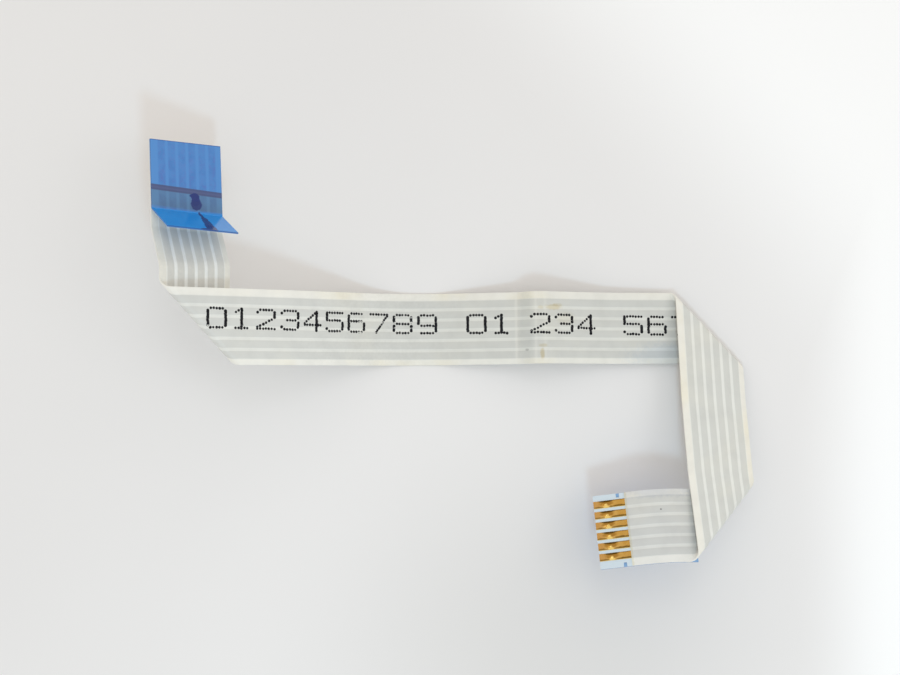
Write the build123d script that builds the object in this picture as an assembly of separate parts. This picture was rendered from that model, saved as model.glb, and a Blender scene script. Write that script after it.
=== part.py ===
from build123d import *
from dataclasses import dataclass, replace
from math import ceil, copysign, pi, radians, sin, tan
import os

# Flat flex cable: six flat copper conductors laminated between two polyester films, with a blue
# polyester stiffener behind the bare contacts at each end.  The finished strip has been creased
# and folded, and lies on a table.
#
# Frame: millimetres, +Z up, the table is Z = 0.  In the strip's own frame, x runs along it from
# the left terminal to the right one, y runs across it, and z is through its thickness, positive
# on the printed side.

# Strip
conductor_count = 6
pitch = 1.0
conductor_width = 0.7
conductor_thickness = 0.1
conductor_offset = -0.08          # the strip is slit a little off the middle of the conductors
film_thickness = 0.06             # over a conductor
contact_length = 3.0              # bare conductor at each end
cable_width = (conductor_count + 1) * pitch

# Stiffeners
stiffener_thickness = 0.14
left_stiffener_length = 11.0
right_stiffener_length = 9.6


@dataclass
class Bend:
    """A bend of the strip about a straight line across it."""
    name: str
    run: float            # flat before the bend, along its shorter edge
    turn: float           # degrees, positive towards the printed side
    radius: float         # of the middle of the strip
    skew: float = 90      # degrees from the strip's edge to the bend line


route = [
    Bend("foot of the riser", 8.08, -24, 1.0, 92),
    Bend("top of the riser", 2.77, 27.5, 2.0, 85),
    Bend("left fold, under", 0.41, -173, 0.5, 134),
    Bend("top of the slope", 3.72, -5, 8.0),
    Bend("foot of the slope", 7.19, 31, 11.0, 85),
    Bend("lift off the table", 1.09, 12, 10.0),
    Bend("valley crease", 6.3, 27, 1.0),
    Bend("ridge crease", 1.2, -55, 1.5),
    Bend("foot of the ridge", 6.0, 12, 8.0),
    Bend("right fold, over", 5.12, 165, 0.4, 134),
    Bend("upper sag", 2.92, -3, 10.0),
    Bend("lower sag", 6.6, -5, 8.0),
    Bend("lower fold, under", 0.08, 184, 0.4, 44),
    Bend("dip at the right terminal", 0.28, -34, 7.0),
]
final_run = 3.8

# The left stiffener is bonded as far as its crease, and beyond it stands up as a pull tab.
tab_crease = Bend("pull tab crease", 6.43, -55, 0.45, 92.3)

# Turn about Y that lets the right fold touch the table with the flat before the lift.
resting_pitch = -0.02

# Small notches in both margins near the right contacts, which let the stiffener show.
notch_from_end = 2.2
notch_length = 0.3
notch_depth = 0.4

half_width = cable_width / 2
conductor_half = conductor_thickness / 2
crest = conductor_half + film_thickness       # outside of a film


def ruling(place, skew):
    """The place turned so that x points across the bend line and y along it."""
    return place * Rot(0, 0, skew - 90)


def cutting_plane(place, skew):
    """The plane through a bend line, facing along the strip."""
    return Plane(ruling(place, skew) * Plane.YZ.location)


def arc_step(bend):
    """From the start of a bend to its end, in the frame of its ruling."""
    radius = copysign(bend.radius, bend.turn)
    advance = bend.radius * radians(abs(bend.turn)) / tan(radians(bend.skew))
    return Pos(0, advance, radius) * Rot(0, -bend.turn, 0) * Pos(0, 0, -radius)


def arc_length(bend):
    """Centre line taken up by a bend."""
    return bend.radius * radians(abs(bend.turn)) / sin(radians(bend.skew))


@dataclass
class Stretch:
    """A flat or a bend, from one centre-line distance to another."""
    place: Location
    start: float
    end: float
    bend: Bend = None             # None for a flat
    skews: tuple = (90, 90)       # of a flat's two end lines


def centre_run(run, lead, trail):
    """The centre line of a flat whose shorter edge has this run, between two bend lines."""
    return run + half_width * abs(1 / tan(radians(trail)) - 1 / tan(radians(lead)))


def follow(route, last_run):
    """Every flat and bend in order, with the first flat at the origin."""
    stretches, place, distance, skew = [], Location(), 0.0, 90
    for bend in route:
        run = centre_run(bend.run, skew, bend.skew)
        stretches.append(Stretch(place, distance, distance + run, skews=(skew, bend.skew)))
        place, distance, skew = place * Pos(run, 0, 0), distance + run, bend.skew
        arcs = ceil(abs(bend.turn) / 120)
        arc = replace(bend, turn=bend.turn / arcs)
        for _ in range(arcs):
            start = ruling(place, skew)
            stretches.append(Stretch(start, distance, distance + arc_length(arc), arc))
            place, distance = start * arc_step(arc) * Rot(0, 0, 90 - skew), distance + arc_length(arc)
    run = centre_run(last_run, skew, 90)
    stretches.append(Stretch(place, distance, distance + run, skews=(skew, 90)))
    return stretches


def section(outline, stretch_across=1.0):
    """A closed outline of (across, up) points, standing across the strip."""
    points = [(across * stretch_across, up) for across, up in outline]
    return Plane.YZ * make_face(Polyline(*points, close=True))


def flat_solid(outline, stretch, start, end):
    """The part of a flat between two distances, cut at the bend lines beside it."""
    begin, finish = max(start, stretch.start), min(end, stretch.end)
    leads = begin == stretch.start and stretch.skews[0] != 90
    trails = finish == stretch.end and stretch.skews[1] != 90
    reach = 2 * cable_width
    x0 = begin - stretch.start - (reach if leads else 0)
    x1 = finish - stretch.start + (reach if trails else 0)
    solid = extrude(Pos(x0, 0, 0) * section(outline), x1 - x0, dir=(1, 0, 0))
    if leads:
        solid = split(solid, bisect_by=cutting_plane(Location(), stretch.skews[0]), keep=Keep.TOP)
    if trails:
        far_end = Pos(stretch.end - stretch.start, 0, 0)
        solid = split(solid, bisect_by=cutting_plane(far_end, stretch.skews[1]), keep=Keep.BOTTOM)
    return stretch.place * solid.solid()


def bend_solid(outline, stretch):
    """A bend: a turn about its axis, with an advance along the axis where the line is skewed."""
    bend = stretch.bend
    side = copysign(1, bend.turn)
    centre = Vector(0, 0, side * bend.radius)
    profile = section(outline, 1 / sin(radians(bend.skew)))
    if bend.skew == 90:
        solid = revolve(profile, Axis(centre, (0, -side, 0)), abs(bend.turn))
    else:
        advance = 2 * pi * bend.radius / tan(radians(bend.skew))
        handed = copysign(1, -side * advance)
        axis = Plane(centre, x_dir=(0, 0, -side), z_dir=(0, -side * handed, 0))
        height = abs(advance) * abs(bend.turn) / 360
        path = axis * Helix(abs(advance), height, bend.radius, lefthand=handed < 0)
        solid = sweep(profile, path, is_frenet=True)
    return stretch.place * solid.solid()


def strip_solid(outline, stretches, start, end):
    """One layer of the strip between two distances along its centre line."""
    pieces = [
        bend_solid(outline, stretch) if stretch.bend else flat_solid(outline, stretch, start, end)
        for stretch in stretches
        if stretch.end > start and stretch.start < end
    ]
    return pieces[0].fuse(*pieces[1:], glue=True)


def conductor_centre(index):
    return (index - (conductor_count - 1) / 2) * pitch + conductor_offset


def conductor_outline(index):
    """A flat copper conductor, in the middle of the laminate."""
    left = conductor_centre(index) - conductor_width / 2
    right = left + conductor_width
    return [(left, -conductor_half), (right, -conductor_half), (right, conductor_half), (left, conductor_half)]


def film_outline(side):
    """A film with its adhesive: it meets the other one between the conductors and wraps each."""
    inner = [(-half_width, 0)]
    for index in range(conductor_count):
        left = conductor_centre(index) - conductor_width / 2
        right = left + conductor_width
        inner += [(left, 0), (left, conductor_half), (right, conductor_half), (right, 0)]
    inner.append((half_width, 0))
    outer = [(half_width, crest), (-half_width, crest)]
    return [(across, side * up) for across, up in inner + outer]


def stiffener_outline():
    top, bottom = -crest, -crest - stiffener_thickness
    return [(-half_width, bottom), (half_width, bottom), (half_width, top), (-half_width, top)]


layout = follow(route, final_run)
cable_length = layout[-1].end
trimmed = (contact_length, cable_length - contact_length)

# The tab leaves the cable at its crease.
tab_start = centre_run(tab_crease.run, 90, tab_crease.skew)
tab_run = left_stiffener_length - tab_start - arc_length(tab_crease)
tab_layout = follow([tab_crease], tab_run)

# The right stiffener shares the last bend, but its corner stays flat below the fold before it.
dip = layout[-2]
dip_place = layout[-3].place * Pos(dip.start - layout[-3].start, 0, 0)
stiff_run = right_stiffener_length - (cable_length - dip.start)
dip_layout = [
    Stretch(dip_place * Pos(-stiff_run, 0, 0), dip.start - stiff_run, dip.start),
    *layout[-2:],
]

nodes = {
    "print_side_film": strip_solid(film_outline(1), layout, *trimmed),
    "back_film": strip_solid(film_outline(-1), layout, 0, cable_length),
    "left_stiffener": strip_solid(stiffener_outline(), tab_layout, 0, left_stiffener_length),
    "right_stiffener": strip_solid(stiffener_outline(), dip_layout, dip.start - stiff_run, cable_length),
}
for number in range(conductor_count):
    nodes[f"conductor_{number + 1}"] = strip_solid(conductor_outline(number), layout, 0, cable_length)

for side in (1, -1):
    notch = Pos(final_run - notch_from_end - notch_length / 2, side * half_width, -crest / 2)
    nodes["back_film"] -= layout[-1].place * notch * Box(notch_length, 2 * notch_depth, 2 * crest)

# Lay the flat before the lift on the table, then bring the origin under the middle of the cable.
resting = layout[[s.bend.name if s.bend else "" for s in layout].index("lift off the table") - 1]
lay_down = Rot(0, resting_pitch, 0) * resting.place.inverse()
nodes = {name: lay_down * solid for name, solid in nodes.items()}
box = Compound(list(nodes.values())).bounding_box()
to_origin = Pos(-box.center().X, -box.center().Y, -box.min.Z)

os.makedirs("parts", exist_ok=True)
for name, solid in nodes.items():
    export_step(to_origin * solid, f"parts/{name}.step")
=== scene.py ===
import bpy
import bmesh
import random
from collections import namedtuple
from math import atan2, ceil, copysign, cos, pi, radians, sin, tan
from mathutils import Matrix, Vector


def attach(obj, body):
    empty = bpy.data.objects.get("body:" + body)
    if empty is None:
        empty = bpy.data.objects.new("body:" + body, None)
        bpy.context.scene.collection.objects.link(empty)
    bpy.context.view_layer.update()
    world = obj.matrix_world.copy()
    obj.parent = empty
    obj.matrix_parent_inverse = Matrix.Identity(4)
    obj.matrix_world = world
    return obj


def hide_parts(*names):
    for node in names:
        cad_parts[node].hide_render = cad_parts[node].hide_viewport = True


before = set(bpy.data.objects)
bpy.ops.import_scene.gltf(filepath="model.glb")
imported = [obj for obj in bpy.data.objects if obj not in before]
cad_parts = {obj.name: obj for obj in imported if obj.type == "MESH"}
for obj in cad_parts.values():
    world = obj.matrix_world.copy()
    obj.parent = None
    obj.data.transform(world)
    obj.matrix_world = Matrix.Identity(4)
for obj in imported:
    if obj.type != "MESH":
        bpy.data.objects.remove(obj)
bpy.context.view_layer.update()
print("frame:", sorted(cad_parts))

# %% [markdown]
# # A folded flat flex cable
# A flat flex cable is a sandwich: six flat copper conductors between two polyester films, with a
# stiff blue strip behind the bare contacts at each end. This one has been creased and folded.
# Paper-thin material bends, but it never stretches. So every layer is modelled flat, where all the
# sizes are easy to read, and then rolled up through the same folds as the real cable.
# All the flat sizes below are in millimetres; a last step turns them into Blender's metres.

# %% The strip's own sizes
WAYS = 6
PITCH = 1.0
WIDTH = 7.0
HALF_WIDTH = WIDTH / 2
CONDUCTOR_WIDTH = 0.7
CONDUCTOR_HALF = 0.05          # half its thickness
OFFSET = -0.08                 # the conductors sit a little off the middle of the strip
CREST = 0.11                   # outside of a film where it passes over a conductor
VALLEY = 0.075                 # outside of a film between two conductors
CONTACT_LENGTH = 3.0
STIFFENER_THICKNESS = 0.14
MM = 0.001

# %% [markdown]
# ## The folds
# Each fold has the flat run before it along the strip's shorter edge, its turn in degrees
# (positive towards the printed side), its radius, and the angle between the strip's edge and the
# fold line. At 90 degrees the strip only dips or rises. At 45 or 135 degrees it turns a corner.

# %% The list of folds, from the left end to the right end
Fold = namedtuple("Fold", "run turn radius skew")
FOLDS = [
    Fold(8.08, -24, 1.0, 92),       # foot of the riser
    Fold(2.77, 27.5, 2.0, 85),      # top of the riser
    Fold(0.41, -173, 0.5, 134),     # left fold, under
    Fold(3.72, -5, 8.0, 90),        # top of the slope
    Fold(7.19, 31, 11.0, 85),       # foot of the slope
    Fold(1.09, 12, 10.0, 90),       # lift off the table
    Fold(6.3, 27, 1.0, 90),         # valley crease
    Fold(1.2, -55, 1.5, 90),        # ridge crease
    Fold(6.0, 12, 8.0, 90),         # foot of the ridge
    Fold(5.12, 165, 0.4, 134),      # right fold, over
    Fold(2.92, -3, 10.0, 90),       # upper sag
    Fold(6.6, -5, 8.0, 90),         # lower sag
    Fold(0.08, 184, 0.4, 44),       # lower fold, under
    Fold(0.28, -34, 7.0, 90),       # dip at the right terminal
]
LAST_RUN = 3.8
RESTING = 5                         # the fold after the flat that rests on the table
RESTING_PLACE = Matrix.Translation((-3.9223, 2.9066, 0.1128)) @ Matrix.Rotation(radians(-0.02), 4, "Y")

# %% [markdown]
# ## Rolling a flat strip up
# A point of the flat strip is (along, across, up). The strip is a chain of flats and folds, and
# each link has a place: a matrix that says where its start lies. In a flat the point is just moved
# there. In a fold it is wrapped round a cylinder whose axis lies along the fold line.

# %% Helpers that follow the chain
Link = namedtuple("Link", "place start end fold exit_skew")


def turned(angle):
    return Matrix.Rotation(radians(angle), 4, "Z")


def middle_run(run, lead, trail):
    """The middle line of a flat whose shorter edge has this run, between two fold lines."""
    return run + HALF_WIDTH * abs(1 / tan(radians(trail)) - 1 / tan(radians(lead)))


def follow(folds, last_run):
    """The chain of flats and folds, with the first flat at the origin."""
    links, place, distance, lead = [], Matrix.Identity(4), 0.0, 90
    for fold in folds:
        run = middle_run(fold.run, lead, fold.skew)
        links.append(Link(place, distance, distance + run, None, fold.skew))
        distance, lead = distance + run, fold.skew
        start = place @ Matrix.Translation((run, 0, 0)) @ turned(fold.skew - 90)
        angle, side = radians(abs(fold.turn)), copysign(1, fold.turn)
        length = fold.radius * angle / sin(radians(fold.skew))
        links.append(Link(start, distance, distance + length, fold, fold.skew))
        slip = fold.radius * angle / tan(radians(fold.skew))
        up = side * fold.radius
        place = (start @ Matrix.Translation((0, slip, up)) @ Matrix.Rotation(-side * angle, 4, "Y")
                 @ Matrix.Translation((0, 0, -up)) @ turned(90 - fold.skew))
        distance += length
    links.append(Link(place, distance, distance + middle_run(last_run, lead, 90), None, 90))
    return links


def rolled(point, links):
    """Where a point of the flat strip ends up once the strip is folded."""
    along, across, up = point
    for link in links:
        skew = radians(link.exit_skew)
        if link.fold is None:
            past = (along - link.end) * sin(skew) - across * cos(skew)
            if past <= 0 or link is links[-1]:
                return link.place @ Vector((along - link.start, across, up))
        else:
            reach = (along - link.start) * sin(skew) - across * cos(skew)
            if reach <= link.fold.radius * radians(abs(link.fold.turn)):
                side, radius = copysign(1, link.fold.turn), link.fold.radius
                slide = (along - link.start) * cos(skew) + across * sin(skew)
                angle, arm = reach / radius, radius - side * up
                return link.place @ Vector((arm * sin(angle), slide, side * (radius - arm * cos(angle))))


chain = follow(FOLDS, LAST_RUN)
to_table = RESTING_PLACE @ chain[2 * RESTING].place.inverted()
chain = [link._replace(place=to_table @ link.place) for link in chain]
LENGTH = chain[-1].end
print("cable length, mm:", round(LENGTH, 2))

# %% [markdown]
# The left stiffener is bonded only as far as its crease, and its free end stands up as a pull tab,
# so it has a chain of its own. The right stiffener shares the cable's last dip, but its corner
# stays flat under the fold.

# %% The stiffeners' own chains
LEFT_STIFFENER, RIGHT_STIFFENER = 11.0, 9.6
TAB_CREASE = Fold(6.43, -55, 0.45, 92.3)
tab_chain = follow([TAB_CREASE], LEFT_STIFFENER - TAB_CREASE.run)
tab_chain = [link._replace(place=chain[0].place @ link.place) for link in tab_chain]
end_chain = chain[-3:]

# %% [markdown]
# ## Camera
# The camera comes before anything is made, so that every piece can be judged from it at once. It
# looks almost straight down, a little from the front, with a lens a bit longer than a normal one.

# %% Camera
camera = bpy.data.objects.new("camera", bpy.data.cameras.new("camera"))
bpy.context.scene.collection.objects.link(camera)
camera.data.lens = 59.2
camera.data.clip_start = 0.01
camera.matrix_world = Matrix((
    (0.996678, 0.005035, -0.081285, -0.012213),
    (-0.010100, 0.998023, -0.062031, -0.006873),
    (0.080812, 0.062646, 0.994759, 0.144417),
    (0, 0, 0, 1),
))
bpy.context.scene.camera = camera

# %% [markdown]
# ## Making a layer
# A layer starts as one closed outline across the strip. Extruding it gives a long bar. The bar is
# then sliced along every line about which it will bend, parallel to the fold lines, because
# between two such lines a folded strip is truly flat. Last, each vertex is rolled up. Its flat
# position is kept in an attribute, so that the materials can paint along and across the strip.

# %% Helpers that make layers
SLICE_DEGREES = 4


def fold_slices(links):
    """(point, direction) of every line about which the strip is bent, in the flat."""
    for link in links:
        if link.fold:
            count = max(2, ceil(abs(link.fold.turn) / SLICE_DEGREES))
            skew = radians(link.fold.skew)
            for i in range(count + 1):
                yield link.start + (link.end - link.start) * i / count, Vector((sin(skew), -cos(skew), 0))


def finished(name, bm, material, links):
    """Rolls the flat mesh up and makes it an object that rides on the cable."""
    bmesh.ops.recalc_face_normals(bm, faces=bm.faces)
    flat = bm.verts.layers.float_vector.new("strip")
    for vert in bm.verts:
        vert[flat] = vert.co
        vert.co = rolled(vert.co, links) * MM
    mesh = bpy.data.meshes.new(name)
    bm.to_mesh(mesh)
    bm.free()
    mesh.shade_smooth()
    mesh.set_sharp_from_angle(angle=radians(35))
    mesh.materials.append(material)
    piece = bpy.data.objects.new(name, mesh)
    bpy.context.scene.collection.objects.link(piece)
    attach(piece, "root")
    print(name, len(mesh.polygons), "faces")
    return piece


def bar(outline, start, end):
    """A closed (across, up) outline, extruded along the strip."""
    bm = bmesh.new()
    ring = [bm.verts.new((start, across, up)) for across, up in outline]
    face = bm.faces.new(ring)
    pushed = bmesh.ops.extrude_face_region(bm, geom=[face], use_keep_orig=True)
    moved = [g for g in pushed["geom"] if isinstance(g, bmesh.types.BMVert)]
    bmesh.ops.translate(bm, verts=moved, vec=(end - start, 0, 0))
    return bm


def slice_at(bm, along, normal=(1, 0, 0)):
    bmesh.ops.bisect_plane(bm, geom=bm.verts[:] + bm.edges[:] + bm.faces[:], dist=0.0005,
                           plane_co=(along, 0, 0), plane_no=normal)


def layer(name, outline, start, end, links, material, shape=None):
    bm = bar(outline, start, end)
    for along, normal in fold_slices(links):
        if start - WIDTH < along < end + WIDTH:
            slice_at(bm, along, normal)
    if shape:
        shape(bm)
    return finished(name, bm, material, links)


# %% [markdown]
# ## Words for building materials
# Every finish here is a small network of nodes. These helpers keep it readable: one makes a node
# from its settings and inputs, and the others are the sums and blends that come up again and again.

# %% Helpers for nodes
def node(tree, kind, settings=None, inputs=None):
    """A node, with its settings, and with its inputs given as plain values or as sockets."""
    new = tree.nodes.new("ShaderNode" + kind)
    for name, value in (settings or {}).items():
        setattr(new, name, value)
    for name, value in (inputs or {}).items():
        if isinstance(value, bpy.types.NodeSocket):
            tree.links.new(value, new.inputs[name])
        else:
            new.inputs[name].default_value = value
    return new


def maths(tree, operation, first, second=0.0):
    return node(tree, "Math", {"operation": operation}, {0: first, 1: second}).outputs[0]


def ramp(tree, value, low, high, bottom=0.0, top=1.0):
    """A smooth step from bottom to top, as the value goes from low to high."""
    return node(tree, "MapRange", {"interpolation_type": "SMOOTHSTEP"},
                {"Value": value, "From Min": low, "From Max": high, "To Min": bottom, "To Max": top}).outputs[0]


def blend(tree, factor, first, second, how="MIX"):
    """Two colours mixed. Each is a socket, or a colour in three numbers."""
    colours = [c if isinstance(c, bpy.types.NodeSocket) else (*c, 1) for c in (first, second)]
    mix = node(tree, "Mix", {"data_type": "RGBA", "blend_type": how},
               {0: factor, 6: colours[0], 7: colours[1]})
    return mix.outputs[2]


def shade(red, green, blue):
    """A colour from 0 to 255, as a paint chart gives it, in Blender's linear numbers."""
    def linear(value):
        value /= 255
        return value / 12.92 if value <= 0.04045 else ((value + 0.055) / 1.055) ** 2.4
    return tuple(linear(value) for value in (red, green, blue))


def new_group(name, inputs, outputs):
    """An empty node group: its inputs are name to default, and it returns both of its ends."""
    tree = bpy.data.node_groups.new(name, "ShaderNodeTree")
    for label, value in inputs.items():
        kind = "NodeSocketVector" if label == "Vector" else "NodeSocketFloat"
        socket = tree.interface.new_socket(name=label, in_out="INPUT", socket_type=kind)
        if value is not None:
            socket.default_value = value
    for label in outputs:
        tree.interface.new_socket(name=label, in_out="OUTPUT", socket_type="NodeSocketFloat")
    return tree, tree.nodes.new("NodeGroupInput").outputs, tree.nodes.new("NodeGroupOutput").inputs


def placed(tree, group, inputs=None):
    """A copy of a node group in a material, with its own values."""
    new = tree.nodes.new("ShaderNodeGroup")
    new.node_tree = group
    for name, value in (inputs or {}).items():
        if isinstance(value, bpy.types.NodeSocket):
            tree.links.new(value, new.inputs[name])
        else:
            new.inputs[name].default_value = value
    return new.outputs


# %% [markdown]
# ## Effects that several finishes share
# The conductors show through the films as grey bands, and faintly through the blue stiffener too.
# So the bands are one node group, which reads the distance across the strip. Stains and ink spots
# are soft ellipses with a ragged edge, and every surface has a slow mottle and a fine grain.

# %% Node group: where the conductors lie
stripes, ins, outs = new_group("conductor stripes", {"Across": 0.0, "Softness": 0.03}, ["Over", "Margin"])
centred = maths(stripes, "SUBTRACT", ins["Across"], OFFSET)
from_middle = maths(stripes, "ABSOLUTE", centred)
cell = maths(stripes, "FRACT", maths(stripes, "DIVIDE", centred, PITCH))
from_conductor = maths(stripes, "ABSOLUTE", maths(stripes, "SUBTRACT", cell, 0.5))
inner = maths(stripes, "SUBTRACT", CONDUCTOR_WIDTH / 2 / PITCH, ins["Softness"])
outer = maths(stripes, "ADD", CONDUCTOR_WIDTH / 2 / PITCH, ins["Softness"])
over = ramp(stripes, from_conductor, inner, outer, 1.0, 0.0)
margin = ramp(stripes, from_middle, WAYS / 2 * PITCH - 0.2, WAYS / 2 * PITCH)
stripes.links.new(maths(stripes, "MULTIPLY", over, maths(stripes, "LESS_THAN", from_middle, WAYS / 2 * PITCH)),
                  outs["Over"])
stripes.links.new(margin, outs["Margin"])
print("group:", stripes.name)

# %% Node group: a ragged spot
spot, ins, outs = new_group(
    "ragged spot",
    {"Vector": None, "Along": 0.0, "Across": 0.0, "Half Length": 1.0, "Half Width": 1.0,
     "Ragged": 0.2, "Softness": 0.1},
    ["Mask"])
parts = node(spot, "SeparateXYZ", inputs={0: ins["Vector"]}).outputs
length_share = maths(spot, "DIVIDE", maths(spot, "SUBTRACT", parts[0], ins["Along"]), ins["Half Length"])
width_share = maths(spot, "DIVIDE", maths(spot, "SUBTRACT", parts[1], ins["Across"]), ins["Half Width"])
reach = maths(spot, "SQRT", maths(spot, "ADD", maths(spot, "POWER", maths(spot, "ABSOLUTE", length_share), 2),
                                  maths(spot, "POWER", maths(spot, "ABSOLUTE", width_share), 2)))
wander = node(spot, "TexNoise", inputs={"Vector": ins["Vector"], "Scale": 4.0, "Detail": 4.0}).outputs[0]
reach = maths(spot, "ADD", reach, maths(spot, "MULTIPLY", maths(spot, "SUBTRACT", wander, 0.5), ins["Ragged"]))
spot.links.new(ramp(spot, reach, maths(spot, "SUBTRACT", 1.0, ins["Softness"]),
                    maths(spot, "ADD", 1.0, ins["Softness"]), 1.0, 0.0), outs["Mask"])
print("group:", spot.name)

# %% Node group: a slow mottle
mottle, ins, outs = new_group(
    "slow mottle", {"Vector": None, "Scale": 0.3, "Low": 0.4, "High": 0.6, "Detail": 3.0}, ["Value"])
cloud = node(mottle, "TexNoise", inputs={"Vector": ins["Vector"], "Scale": ins["Scale"],
                                         "Detail": ins["Detail"]}).outputs[0]
mottle.links.new(ramp(mottle, cloud, ins["Low"], ins["High"]), outs["Value"])

# %% Node group: fine grain, with streaks drawn along the strip
grain, ins, outs = new_group("fine grain", {"Vector": None, "Scale": 14.0, "Streaks": 0.5}, ["Height"])
speckle = node(grain, "TexNoise", inputs={"Vector": ins["Vector"], "Scale": ins["Scale"],
                                          "Detail": 2.0}).outputs[0]
drawn = node(grain, "Mapping", inputs={"Vector": ins["Vector"], "Scale": (0.15, 9.0, 1.0)}).outputs[0]
streak = node(grain, "TexNoise", inputs={"Vector": drawn, "Scale": 1.0, "Detail": 2.0}).outputs[0]
grain.links.new(maths(grain, "ADD", speckle, maths(grain, "MULTIPLY", streak, ins["Streaks"])), outs["Height"])
print("groups:", mottle.name, "and", grain.name)


# %% A material to start from
def new_material(name):
    """A material's tree, its main shader, and the flat strip's coordinates."""
    material = bpy.data.materials.new(name)
    material.use_nodes = True
    tree = material.node_tree
    flat = node(tree, "Attribute", {"attribute_name": "strip"}).outputs["Vector"]
    return material, tree, tree.nodes["Principled BSDF"], flat


def put_bump(tree, shader, height, distance, strength=1.0):
    """Raises the surface by a height, whose full range stands for a distance in metres."""
    bump = node(tree, "Bump", inputs={"Height": height, "Distance": distance, "Strength": strength})
    tree.links.new(bump.outputs[0], shader.inputs["Normal"])


# %% [markdown]
# ## The film
# The films are clear-ish white polyester. Over a conductor the grey of the metal shows through,
# between two conductors they are whiter, and the two margins are cream. Where the cable was
# creased the film has turned milky, and it has a few small rust-coloured stains. Near the bare
# contacts the blue stiffener behind tints it. Both films share this recipe, with other colours.
# Some soft patches in the stain lists are not stains but painted shade: over the long middle
# stretch, on the steep facet between two creases, beside the right fold, along the lower margin by
# the right contacts, and on the stretch before the left fold. The part of that stretch by the tab
# also gets a painted blue tint of light thrown from the tab. The stretch from the left end to the
# left fold is painted lighter, as painted light.

# %% Film finish
def film_finish(name, band, gap, edge, stains_and_shade, creases, blue_reach, lit_to=0):
    material, tree, shader, flat = new_material(name)
    along, across, _ = node(tree, "SeparateXYZ", inputs={0: flat}).outputs
    lie = placed(tree, stripes, {"Across": across})
    # Up to the given distance from the left end, the gaps and bands are painted lighter. This is painted light that
    # lifts the shade on the stretch before the left fold.
    lit_stretch = ramp(tree, along, lit_to - 0.5, lit_to, 1, 0)
    colour = blend(tree, lie["Over"], blend(tree, lit_stretch, gap, shade(245, 246, 243)),
                   blend(tree, lit_stretch, band, shade(219, 218, 212)))
    colour = blend(tree, lie["Margin"], colour, edge)
    yellowed = placed(tree, mottle, {"Vector": flat, "Scale": 0.16, "Low": 0.45, "High": 0.7})["Value"]
    yellowed = maths(tree, "MULTIPLY", yellowed, ramp(tree, lie["Margin"], 0, 1, 0.12, 0.5))
    yellowed = maths(tree, "MULTIPLY", yellowed, ramp(tree, along, 20, 32, 0.3, 1.0))
    colour = blend(tree, yellowed, colour, shade(240, 232, 205))
    dull = placed(tree, mottle, {"Vector": flat, "Scale": 0.6, "Low": 0.35, "High": 0.75})["Value"]
    colour = blend(tree, maths(tree, "MULTIPLY", dull, 0.10), colour, shade(150, 150, 150))
    for place, width, amount in creases:
        near = maths(tree, "ABSOLUTE", maths(tree, "SUBTRACT", along, place))
        milky = maths(tree, "MULTIPLY", ramp(tree, near, 0, width, 1, 0), amount)
        colour = blend(tree, milky, colour, shade(246, 245, 238))
    # Each row darkens the colour: either a real stain or speck, or painted shade.
    for centre, side, half_length, half_width, amount, tone in stains_and_shade:
        mask = placed(tree, spot, {"Vector": flat, "Along": centre, "Across": side, "Ragged": 0.9,
                                   "Half Length": half_length, "Half Width": half_width, "Softness": 0.45})
        colour = blend(tree, maths(tree, "MULTIPLY", mask["Mask"], amount), colour, tone, "MULTIPLY")
    from_end = maths(tree, "MINIMUM", along, maths(tree, "SUBTRACT", LENGTH, along))
    backed = ramp(tree, from_end, CONTACT_LENGTH - 0.05, CONTACT_LENGTH + blue_reach, 0.9, 0)
    colour = blend(tree, backed, colour, shade(200, 215, 226))
    tree.links.new(colour, shader.inputs["Base Color"])
    tree.links.new(ramp(tree, dull, 0, 1, 0.42, 0.55), shader.inputs["Roughness"])
    shader.inputs["Specular IOR Level"].default_value = 0.35
    height = placed(tree, grain, {"Vector": flat, "Scale": 9.0, "Streaks": 0.8})["Height"]
    put_bump(tree, shader, height, 0.000004, 0.5)
    print("finish:", name)
    return material


# The tones below multiply the colour. The rust and smut tones are real stains and specks. The tones for the middle
# stretch, the facet between the creases, the stretch by the tab, the stretch by the left fold and the film beside the
# right fold are painted shade. The tone by the tab also paints a blue tint of light thrown from the tab.
RUST, SMUT, MIDDLE_SHADE = shade(238, 224, 190), shade(140, 138, 140), shade(243, 243, 242)
FACET_SHADE, BLUE_BOUNCE_SHADE, WARM_SHADE = shade(228, 233, 236), shade(238, 242, 246), shade(246, 243, 238)
DULLED, SHADED, BLUE_SHADE, GILDED = shade(238, 238, 240), shade(232, 236, 246), shade(232, 240, 252), shade(238, 232, 204)
print_finish = film_finish(
    "print side film", band=shade(213, 214, 210), gap=shade(229, 230, 225), edge=shade(241, 240, 233),
    creases=[(50.32, 0.3, 0.3), (52.4, 0.22, 0.2), (53.3, 0.3, 0.15)],
    blue_reach=0.02,
    stains_and_shade=[(58.0, 0.0, 22.0, 40.0, 0.85, MIDDLE_SHADE), (51.5, 0.0, 0.75, 4.5, 0.35, FACET_SHADE), (97.0, 0.0, 6.0, 6.0, 0.8, DULLED), (95.6, -3.4, 4.5, 0.6, 0.8, SHADED),
            (LENGTH - 3.05, 0.0, 0.14, 8.0, 0.5, GILDED),
            (54.24, 1.97, 0.8, 0.26, 0.65, RUST), (54.6, 2.2, 0.5, 0.15, 0.4, RUST),
            (53.1, -1.75, 0.42, 0.16, 0.5, RUST), (53.0, -2.55, 0.2, 0.5, 0.75, RUST),
            (52.9, 1.95, 0.26, 0.16, 0.4, RUST), (55.5, 0.9, 0.9, 0.6, 0.2, RUST), (66.5, -2.9, 4.0, 1.4, 0.7, BLUE_SHADE),
            (51.5, -2.15, 0.2, 0.12, 0.4, SMUT), (96.2, -1.55, 0.08, 0.08, 0.9, SMUT)])
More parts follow.
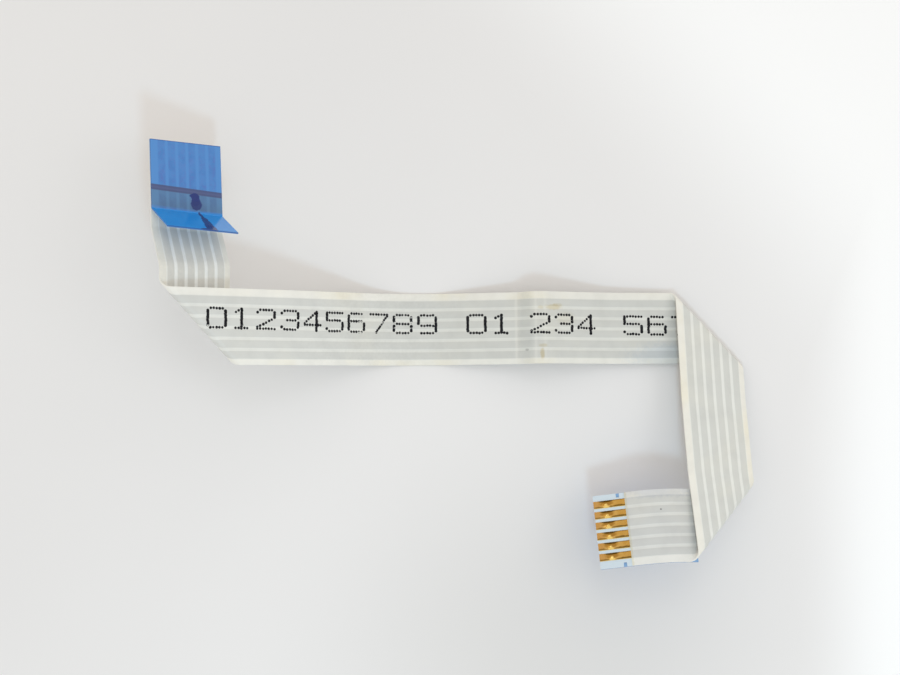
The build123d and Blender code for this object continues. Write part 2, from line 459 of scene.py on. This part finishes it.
back_finish = film_finish(
    "back film", band=shade(211, 212, 207), gap=shade(231, 232, 227), edge=shade(236, 234, 225),
    creases=[(50.32, 0.3, 0.4), (52.4, 0.25, 0.3)], blue_reach=0.05, lit_to=19,
    stains_and_shade=[(7.0, 0.0, 6.5, 12.0, 0.6, BLUE_BOUNCE_SHADE), (15.5, 0.0, 4.5, 12.0, 0.3, WARM_SHADE),
            (53.6, 1.9, 0.7, 0.3, 0.6, RUST)])

# %% [markdown]
# ## The stiffener
# The stiffener is a strip of blue polyester with a glossy face. Its glue is clear, so the
# conductors still show through as soft stripes. A dark line crosses the left one, beyond it the
# blue is greyer, and somebody has marked it with a felt pen. The pull tab is painted a brighter,
# more saturated blue, as painted light shining through it from behind, and the cut edges and
# ends are painted darker, as painted shade.

# %% Stiffener finish
stiffener_finish, tree, shader, flat = new_material("blue stiffener")
along, across, up = node(tree, "SeparateXYZ", inputs={0: flat}).outputs
lie = placed(tree, stripes, {"Across": across, "Softness": 0.1})
cloud = placed(tree, mottle, {"Vector": flat, "Scale": 0.9, "Low": 0.35, "High": 0.7})["Value"]
seen = maths(tree, "MULTIPLY", lie["Over"], ramp(tree, cloud, 0, 1, 0.4, 0.8))
bruised = placed(tree, mottle, {"Vector": flat, "Scale": 2.4, "Low": 0.4, "High": 0.75})["Value"]
under = blend(tree, bruised, shade(62, 122, 192), shade(78, 112, 186))
colour = blend(tree, seen, shade(78, 141, 208), under)
skewed = maths(tree, "ADD", along, maths(tree, "MULTIPLY", across, 0.0425))
behind = maths(tree, "MULTIPLY", ramp(tree, skewed, 4.7, 4.9), ramp(tree, skewed, 6.3, 6.6, 1, 0))
grey = blend(tree, seen, shade(86, 131, 174), shade(74, 112, 157))
colour = blend(tree, behind, colour, grey)
# Painted light: the standing tab is painted brighter and bluer, for light shining through it.
backlit_tab = maths(tree, "MULTIPLY", ramp(tree, along, 6.45, 6.75), ramp(tree, along, 11.5, 12.0, 1, 0))
colour = blend(tree, backlit_tab, colour, shade(20, 140, 226))
from_line = maths(tree, "ABSOLUTE", maths(tree, "SUBTRACT", skewed, 4.665))
colour = blend(tree, ramp(tree, from_line, 0.22, 0.31, 0.92, 0), colour, shade(68, 78, 120))
colour = blend(tree, ramp(tree, from_line, 0.02, 0.13, 0.25, 0), colour, shade(98, 104, 150))
PEN_MARKS = [                       # along, across, half length, half width
    (5.9, -0.9, 0.56, 0.54), (5.2, -0.78, 0.4, 0.42), (5.55, -0.84, 0.5, 0.42), (5.08, -0.72, 0.2, 0.5),
    (7.4, -1.14, 0.8, 0.17), (8.3, -1.16, 0.5, 0.3), (9.3, -1.08, 1.1, 0.4),
    (10.4, -0.98, 0.9, 0.52), (10.9, -0.68, 0.24, 0.85),
]
for centre, side, half_length, half_width in PEN_MARKS:
    mask = placed(tree, spot, {"Vector": flat, "Along": centre, "Across": side, "Ragged": 0.35,
                               "Half Length": half_length, "Half Width": half_width, "Softness": 0.12})
    colour = blend(tree, maths(tree, "MULTIPLY", mask["Mask"], 0.93), colour, shade(8, 42, 116))
# Painted shade: the cut edges and ends of the stiffener are painted darker.
rim_shade = ramp(tree, maths(tree, "ABSOLUTE", across), HALF_WIDTH - 0.06, HALF_WIDTH - 0.02, 0, 0.5)
for end in (0, LEFT_STIFFENER, LENGTH):
    near = maths(tree, "ABSOLUTE", maths(tree, "SUBTRACT", along, end))
    rim_shade = maths(tree, "MAXIMUM", rim_shade, ramp(tree, near, 0.03, 0.1, 0.75, 0))
colour = blend(tree, rim_shade, colour, shade(40, 84, 150))
glued = ramp(tree, up, -CREST - 0.03, -CREST - 0.01)
colour = blend(tree, glued, colour, shade(132, 172, 214))
tree.links.new(colour, shader.inputs["Base Color"])
tree.links.new(ramp(tree, cloud, 0, 1, 0.10, 0.2), shader.inputs["Roughness"])
shader.inputs["IOR"].default_value = 1.58
height = placed(tree, grain, {"Vector": flat, "Scale": 5.0, "Streaks": 0.5})["Height"]
put_bump(tree, shader, height, 0.000003, 0.35)
print("finish:", stiffener_finish.name)

# %% [markdown]
# ## The bare contacts
# The copper is gold plated. Gold is a metal, so it has no colour of its own but tints what it
# reflects. It is rubbed dull along its right half and darker, almost olive, near its edges. The
# light on each contact's dent is painted in: painted shade over the dent, with a dark line along
# its upper side, and a painted highlight below it. A painted highlight also runs along each
# contact's lower edge.

# %% Gold finish
gold_finish, tree, shader, flat = new_material("gold contact")
along, across, up = node(tree, "SeparateXYZ", inputs={0: flat}).outputs
cell = maths(tree, "FRACT", maths(tree, "DIVIDE", maths(tree, "SUBTRACT", across, OFFSET), PITCH))
aside = maths(tree, "MULTIPLY", maths(tree, "SUBTRACT", cell, 0.5), PITCH)
from_end = maths(tree, "SUBTRACT", LENGTH, along)
on_pad = node(tree, "CombineXYZ", inputs={0: from_end, 1: aside, 2: across}).outputs[0]
rubbed = placed(tree, mottle, {"Vector": flat, "Scale": 2.2, "Low": 0.4, "High": 0.65})["Value"]
colour = blend(tree, ramp(tree, from_end, 1.0, 2.6), shade(236, 192, 112), shade(214, 168, 88))
colour = blend(tree, maths(tree, "MULTIPLY", rubbed, 0.6), colour, shade(198, 148, 64))
OLIVE_AND_DENT_SHADE, BROWN, DENT_SHADE, PAINTED_GLINT = shade(86, 62, 12), shade(198, 146, 84), shade(168, 118, 40), shade(255, 222, 134)
# The brown mark and the olive marks at the ends and edges darken the gold. The amber mark and the olive line along
# the dent's upper side are painted shade, and the two glints below it are painted highlights.
for centre, side, half_length, half_width, ragged, amount, tone in [
        (0.2, 0.0, 0.45, 0.5, 0.8, 0.6, BROWN), (1.2, -0.08, 0.6, 0.26, 0.5, 0.8, DENT_SHADE),
        (1.2, -0.32, 0.68, 0.14, 0.4, 0.92, OLIVE_AND_DENT_SHADE), (2.4, 0.31, 0.95, 0.16, 1.2, 0.72, OLIVE_AND_DENT_SHADE),
        (0.45, 0.32, 0.55, 0.14, 1.0, 0.6, OLIVE_AND_DENT_SHADE), (2.4, -0.34, 0.7, 0.06, 1.0, 0.6, OLIVE_AND_DENT_SHADE),
        (1.2, 0.24, 0.27, 0.12, 0.9, 0.85, PAINTED_GLINT), (1.2, 0.1, 0.13, 0.16, 0.9, 0.8, PAINTED_GLINT)]:
    mask = placed(tree, spot, {"Vector": on_pad, "Along": centre, "Across": side, "Ragged": ragged,
                               "Half Length": half_length, "Half Width": half_width, "Softness": 0.3})
    colour = blend(tree, maths(tree, "MULTIPLY", mask["Mask"], amount), colour, tone)
# Painted highlight along each contact's lower edge.
colour = blend(tree, ramp(tree, aside, 0.29, 0.33, 0, 0.8), colour, shade(255, 226, 134))
tree.links.new(colour, shader.inputs["Base Color"])
tree.links.new(ramp(tree, rubbed, 0, 1, 0.16, 0.28), shader.inputs["Roughness"])
shader.inputs["Metallic"].default_value = 1.0
height = placed(tree, grain, {"Vector": flat, "Scale": 4.0, "Streaks": 1.0})["Height"]
put_bump(tree, shader, height, 0.000008, 0.5)
print("finish:", gold_finish.name)

# %% Ink finish
ink_finish, tree, shader, flat = new_material("print ink")
thin = placed(tree, mottle, {"Vector": flat, "Scale": 2.5, "Low": 0.5, "High": 0.8})["Value"]
colour = blend(tree, thin, shade(12, 12, 20), shade(34, 30, 32))
tree.links.new(colour, shader.inputs["Base Color"])
tree.links.new(ramp(tree, thin, 0, 1, 0.55, 0.7), shader.inputs["Roughness"])
shader.inputs["Specular IOR Level"].default_value = 0.25
height = placed(tree, grain, {"Vector": flat, "Scale": 20.0, "Streaks": 0.2})["Height"]
put_bump(tree, shader, height, 0.000004, 0.4)
print("finish:", ink_finish.name)

# %% [markdown]
# ## The two films
# A film's section follows the conductors: its inside steps over each one, and its outside swells
# over it by a few hundredths of a millimetre. That is what makes the cable look ribbed. The back
# film runs to the ends, under the contacts, and has a small notch in each margin near the right
# end, through which the blue shows.

# %% Outlines across the strip
def conductor_centre(index):
    return (index - (WAYS - 1) / 2) * PITCH + OFFSET


def film_outline(side):
    inner, outer = [(-HALF_WIDTH, 0)], [(-HALF_WIDTH, VALLEY * 0.8), (-HALF_WIDTH + 0.03, VALLEY)]
    half = CONDUCTOR_WIDTH / 2
    for index in range(WAYS):
        middle = conductor_centre(index)
        inner += [(middle - half, 0), (middle - half, CONDUCTOR_HALF),
                  (middle + half, CONDUCTOR_HALF), (middle + half, 0)]
        outer += [(middle - half - 0.08, VALLEY), (middle - half, (VALLEY + CREST) / 2),
                  (middle - half + 0.08, CREST), (middle + half - 0.08, CREST),
                  (middle + half, (VALLEY + CREST) / 2), (middle + half + 0.08, VALLEY)]
    inner.append((HALF_WIDTH, 0))
    outer += [(HALF_WIDTH - 0.03, VALLEY), (HALF_WIDTH, VALLEY * 0.8)]
    return [(across, side * up) for across, up in inner + outer[::-1]]


# %% The films
NOTCH_FROM_END, NOTCH_LENGTH, NOTCH_DEPTH = 2.2, 0.3, 0.4


def notched(bm):
    """Pushes the margins in over a short length near the right end."""
    end = LENGTH - NOTCH_FROM_END
    start = end - NOTCH_LENGTH
    for along in (start - 0.01, start + 0.01, end - 0.01, end + 0.01):
        slice_at(bm, along)
    deep = HALF_WIDTH - NOTCH_DEPTH
    for vert in bm.verts:
        if start < vert.co.x < end and abs(vert.co.y) > deep:
            vert.co.y = copysign(deep, vert.co.y)


print_film = layer("print_film", film_outline(1), CONTACT_LENGTH, LENGTH - CONTACT_LENGTH, chain,
                   print_finish)
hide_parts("print_side_film")
base_film = layer("base_film", film_outline(-1), 0, LENGTH, chain, back_finish, notched)
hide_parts("back_film")

# %% [markdown]
# ## The conductors
# Each conductor is a flat ribbon with rounded shoulders. Where it is bare it has been pressed by
# the connector's springs, which left one shallow dent in each contact, so the bare ends are cut
# into short slices and a smooth hollow is pushed into them.

# %% The conductors
def ribbon_outline(middle):
    """A flat ribbon with rounded shoulders on its printed side."""
    half = CONDUCTOR_WIDTH / 2
    steps = [-1, -0.93, -0.75, -0.5, -0.25, 0, 0.25, 0.5, 0.75, 0.93, 1]
    crown = [(middle + half * s, CONDUCTOR_HALF - 0.016 * s ** 6) for s in steps]
    return [(middle - half, -CONDUCTOR_HALF), (middle + half, -CONDUCTOR_HALF)] + crown[::-1]


def hollow(distance, reach):
    """1 in the middle, falling smoothly to 0 at the reach."""
    return 0.5 + 0.5 * cos(pi * min(1, abs(distance) / reach))


def pressed(middle, seed):
    """The shape step of a conductor: a dent near each end, a little different in each."""
    chance = random.Random(seed)
    dents = [(1.3 + chance.uniform(-0.08, 0.08), 0.5 + chance.uniform(-0.05, 0.08),
              chance.uniform(0.0, 0.05)) for _ in range(2)]

    def shape(bm):
        for step in range(1, 21):
            slice_at(bm, step * CONTACT_LENGTH / 21)
            slice_at(bm, LENGTH - step * CONTACT_LENGTH / 21)
        for vert in bm.verts:
            along, across, up = vert.co
            for (centre, reach, aside), from_end in zip(dents, (along, LENGTH - along)):
                if up > 0 and from_end < CONTACT_LENGTH:
                    vert.co.z -= 0.06 * hollow(from_end - centre, reach) * hollow(across - middle - aside, 0.28)
    return shape


for index in range(WAYS):
    middle = conductor_centre(index)
    piece = layer(f"strip_conductor_{index + 1}", ribbon_outline(middle), 0, LENGTH, chain,
                  gold_finish, pressed(middle, index))
    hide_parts(f"conductor_{index + 1}")

# %% [markdown]
# ## The stiffeners
# They are plain plates, thicker than the cable, with their sharp corners taken off.

# %% The stiffeners
def plate_outline(half_width, low, high, edge):
    """A flat plate's section, with its four corners taken off."""
    return [(-half_width + edge, low), (half_width - edge, low), (half_width, low + edge),
            (half_width, high - edge), (half_width - edge, high), (-half_width + edge, high),
            (-half_width, high - edge), (-half_width, low + edge)]


backing_outline = plate_outline(HALF_WIDTH, -CREST - STIFFENER_THICKNESS, -CREST, 0.02)
left_backing = layer("left_backing", backing_outline, 0, LEFT_STIFFENER, tab_chain,
                     stiffener_finish)
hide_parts("left_stiffener")
right_backing = layer("right_backing", backing_outline, LENGTH - RIGHT_STIFFENER, LENGTH, end_chain,
                      stiffener_finish)
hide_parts("right_stiffener")

# %% [markdown]
# ## The print
# The printer on such a line throws ink drops. Across the cable the drops run together, but along
# it they stay apart as beads, because the cable moves under the nozzles. The cable carries a plain
# count of figures here. Each figure is a few strokes on a grid, and each drop is a thin round disc
# that drapes over the film.

# %% Figures as strokes
FIGURES = {                         # strokes as x, y to x, y, on a grid 6 wide and 12 high
    "0": [(1, 0, 5, 0), (1, 12, 5, 12), (0, 1.5, 0, 10.5), (6, 1.5, 6, 10.5)],
    "1": [(1, 0, 5, 0), (3, 1, 3, 12), (1, 10, 2, 11)],
    "2": [(0, 0, 6, 0), (0, 1, 5, 6), (6, 7.5, 6, 10.5), (1, 12, 5, 12), (0, 10.5, 0, 10.5)],
    "3": [(1, 0, 5, 0), (6, 1.5, 6, 4.5), (2, 6, 5, 6), (6, 7.5, 6, 10.5), (1, 12, 5, 12),
          (0, 1.5, 0, 1.5), (0, 10.5, 0, 10.5)],
    "4": [(4.5, 0, 4.5, 12), (0, 3.5, 6, 3.5), (0, 4.5, 3.8, 11)],
    "5": [(1, 0, 5, 0), (6, 1.5, 6, 5.5), (0, 7, 5, 7), (0, 8, 0, 11), (0, 12, 6, 12), (0, 1.5, 0, 1.5)],
    "6": [(1, 0, 5, 0), (0, 1.5, 0, 10.5), (6, 1.5, 6, 5.5), (1, 7, 5, 7), (1, 12, 5, 12)],
    "7": [(0, 12, 6, 12), (6, 11, 2, 0)],
    "8": [(1, 0, 5, 0), (0, 1.5, 0, 4.5), (6, 1.5, 6, 4.5), (1, 6, 5, 6), (0, 7.5, 0, 10.5),
          (6, 7.5, 6, 10.5), (1, 12, 5, 12)],
    "9": [(1, 0, 5, 0), (6, 1.5, 6, 10.5), (1, 5, 5, 5), (0, 6.5, 0, 10.5), (1, 12, 5, 12)],
}
FIGURE_WIDTH, FIGURE_HEIGHT = 1.72, 1.74
FIGURE_PITCH = 2.433
BEAD_ALONG, BEAD_ACROSS = 0.265, 0.15
PRINT_RUNS = [(19.62, "0123456789 01"), (52.87, "234 567")]


def drops(figure):
    """Where a figure's drops land, from its lower left corner."""
    scale_x, scale_y = FIGURE_WIDTH / 6, FIGURE_HEIGHT / 12
    for x0, y0, x1, y1 in FIGURES[figure]:
        run, rise = (x1 - x0) * scale_x, (y1 - y0) * scale_y
        count = max(round(abs(run) / BEAD_ALONG), round(abs(rise) / (BEAD_ACROSS if not run else 0.2)))
        for i in range(count + 1):
            share = i / max(count, 1)
            yield x0 * scale_x + run * share, y0 * scale_y + rise * share, 0.155 if run == 0 else 0.135


# %% The printed figures
def film_height(across):
    """The outside of the film above the middle of the strip."""
    centred = (across - OFFSET) / PITCH
    beside = abs(centred - int(centred + 10) + 10 - 0.5) * PITCH - CONDUCTOR_WIDTH / 2
    if abs(centred) > WAYS / 2:
        beside = 1
    return VALLEY + (CREST - VALLEY) * min(1, max(0, 0.5 - beside / 0.16))


bm = bmesh.new()
chance = random.Random(5)
for first, text in PRINT_RUNS:
    for place, figure in enumerate(text):
        if figure == " ":
            continue
        for x, y, radius in drops(figure):
            along = first + place * FIGURE_PITCH + x - FIGURE_WIDTH / 2 + chance.gauss(0, 0.012)
            across = 1.01 - 0.0118 * along + y - FIGURE_HEIGHT / 2 + chance.gauss(0, 0.012)
            radius += chance.gauss(0, 0.007)
            bmesh.ops.create_cone(bm, cap_ends=True, cap_tris=False, segments=10, depth=0.01,
                                  radius1=radius, radius2=radius * 0.94,
                                  matrix=Matrix.Translation((along, across, 0)))
for vert in bm.verts:
    vert.co.z = film_height(vert.co.y) + (0.008 if vert.co.z > 0 else -0.004)
figures = finished("printed_figures", bm, ink_finish, chain)

# %% [markdown]

# %% [markdown]
# ## Floor and light
# A pale floor, painted paler towards the right and the back right as painted light, and darker in a
# soft patch in front of the middle as painted shade. A soft, warm studio sky that is a little
# brighter low down behind the left end. One cool lamp in front of the cable throws the shadows,
# and a weak lamp at the right and a weak cool one behind soften them.

# %% Floor
bm = bmesh.new()
bmesh.ops.create_grid(bm, x_segments=1, y_segments=1, size=0.6)
mesh = bpy.data.meshes.new("floor")
bm.to_mesh(mesh)
bm.free()
floor = bpy.data.objects.new("floor", mesh)
bpy.context.scene.collection.objects.link(floor)
floor_finish = bpy.data.materials.new("floor")
floor_finish.use_nodes = True
tree, shader = floor_finish.node_tree, floor_finish.node_tree.nodes["Principled BSDF"]
place = node(tree, "TexCoord").outputs["Object"]
cloud = placed(tree, mottle, {"Vector": place, "Scale": 14.0, "Low": 0.3, "High": 0.7})["Value"]
colour = blend(tree, cloud, shade(231, 230, 230), shade(235, 234, 234))
parts = node(tree, "SeparateXYZ", inputs={0: place}).outputs
# Painted light: the floor is painted paler towards the right and the back right.
corner = maths(tree, "ADD", parts[0], maths(tree, "MULTIPLY", parts[1], 0.9))
floor_light = maths(tree, "MAXIMUM", ramp(tree, corner, 0.028, 0.062), ramp(tree, parts[0], 0.033, 0.044))
colour = blend(tree, floor_light, colour, shade(252, 253, 254))
# Painted shade: a soft darker patch in front of the middle.
floor_shade = placed(tree, spot, {"Vector": place, "Along": 0.011, "Across": -0.028, "Ragged": 0.0,
                          "Half Length": 0.017, "Half Width": 0.015, "Softness": 0.9})["Mask"]
colour = blend(tree, floor_shade, colour, shade(220, 219, 218))
tree.links.new(colour, shader.inputs["Base Color"])
shader.inputs["Roughness"].default_value = 0.75
mesh.materials.append(floor_finish)


# %% Lamps and sky
def lamp(name, place, size, power, colour):
    light = bpy.data.lights.new(name, "AREA")
    light.shape = "DISK"
    light.size, light.energy, light.color = size, power, colour
    holder = bpy.data.objects.new(name, light)
    bpy.context.scene.collection.objects.link(holder)
    holder.location = place
    holder.rotation_euler = (Vector((0, 0, 0)) - Vector(place)).to_track_quat("-Z", "Y").to_euler()


lamp("key", (0.006, -0.10, 0.155), 0.026, 0.058, (0.52, 0.79, 1.0))
lamp("side", (0.11, 0.0, 0.12), 0.08, 0.016, (0.93, 0.97, 1.0))
lamp("back", (0.0, 0.16, 0.3), 0.12, 0.05, (0.86, 0.93, 1.0))
sky = bpy.data.worlds.new("studio")
bpy.context.scene.world = sky
sky.use_nodes = True
tree = sky.node_tree
tree.nodes["Background"].inputs["Color"].default_value = (1.0, 0.958, 0.902, 1)
way = node(tree, "SeparateXYZ", inputs={0: node(tree, "TexCoord").outputs["Generated"]}).outputs
lean = maths(tree, "SUBTRACT", way[1], way[0])
low = ramp(tree, way[2], 0.0, 0.8, 1.0, 0.0)
glow = maths(tree, "MULTIPLY", ramp(tree, lean, -0.3, 1.0), low)
tree.links.new(maths(tree, "ADD", 0.81, maths(tree, "MULTIPLY", glow, 0.28)),
               tree.nodes["Background"].inputs["Strength"])

bpy.context.scene.view_settings.view_transform = "Standard"
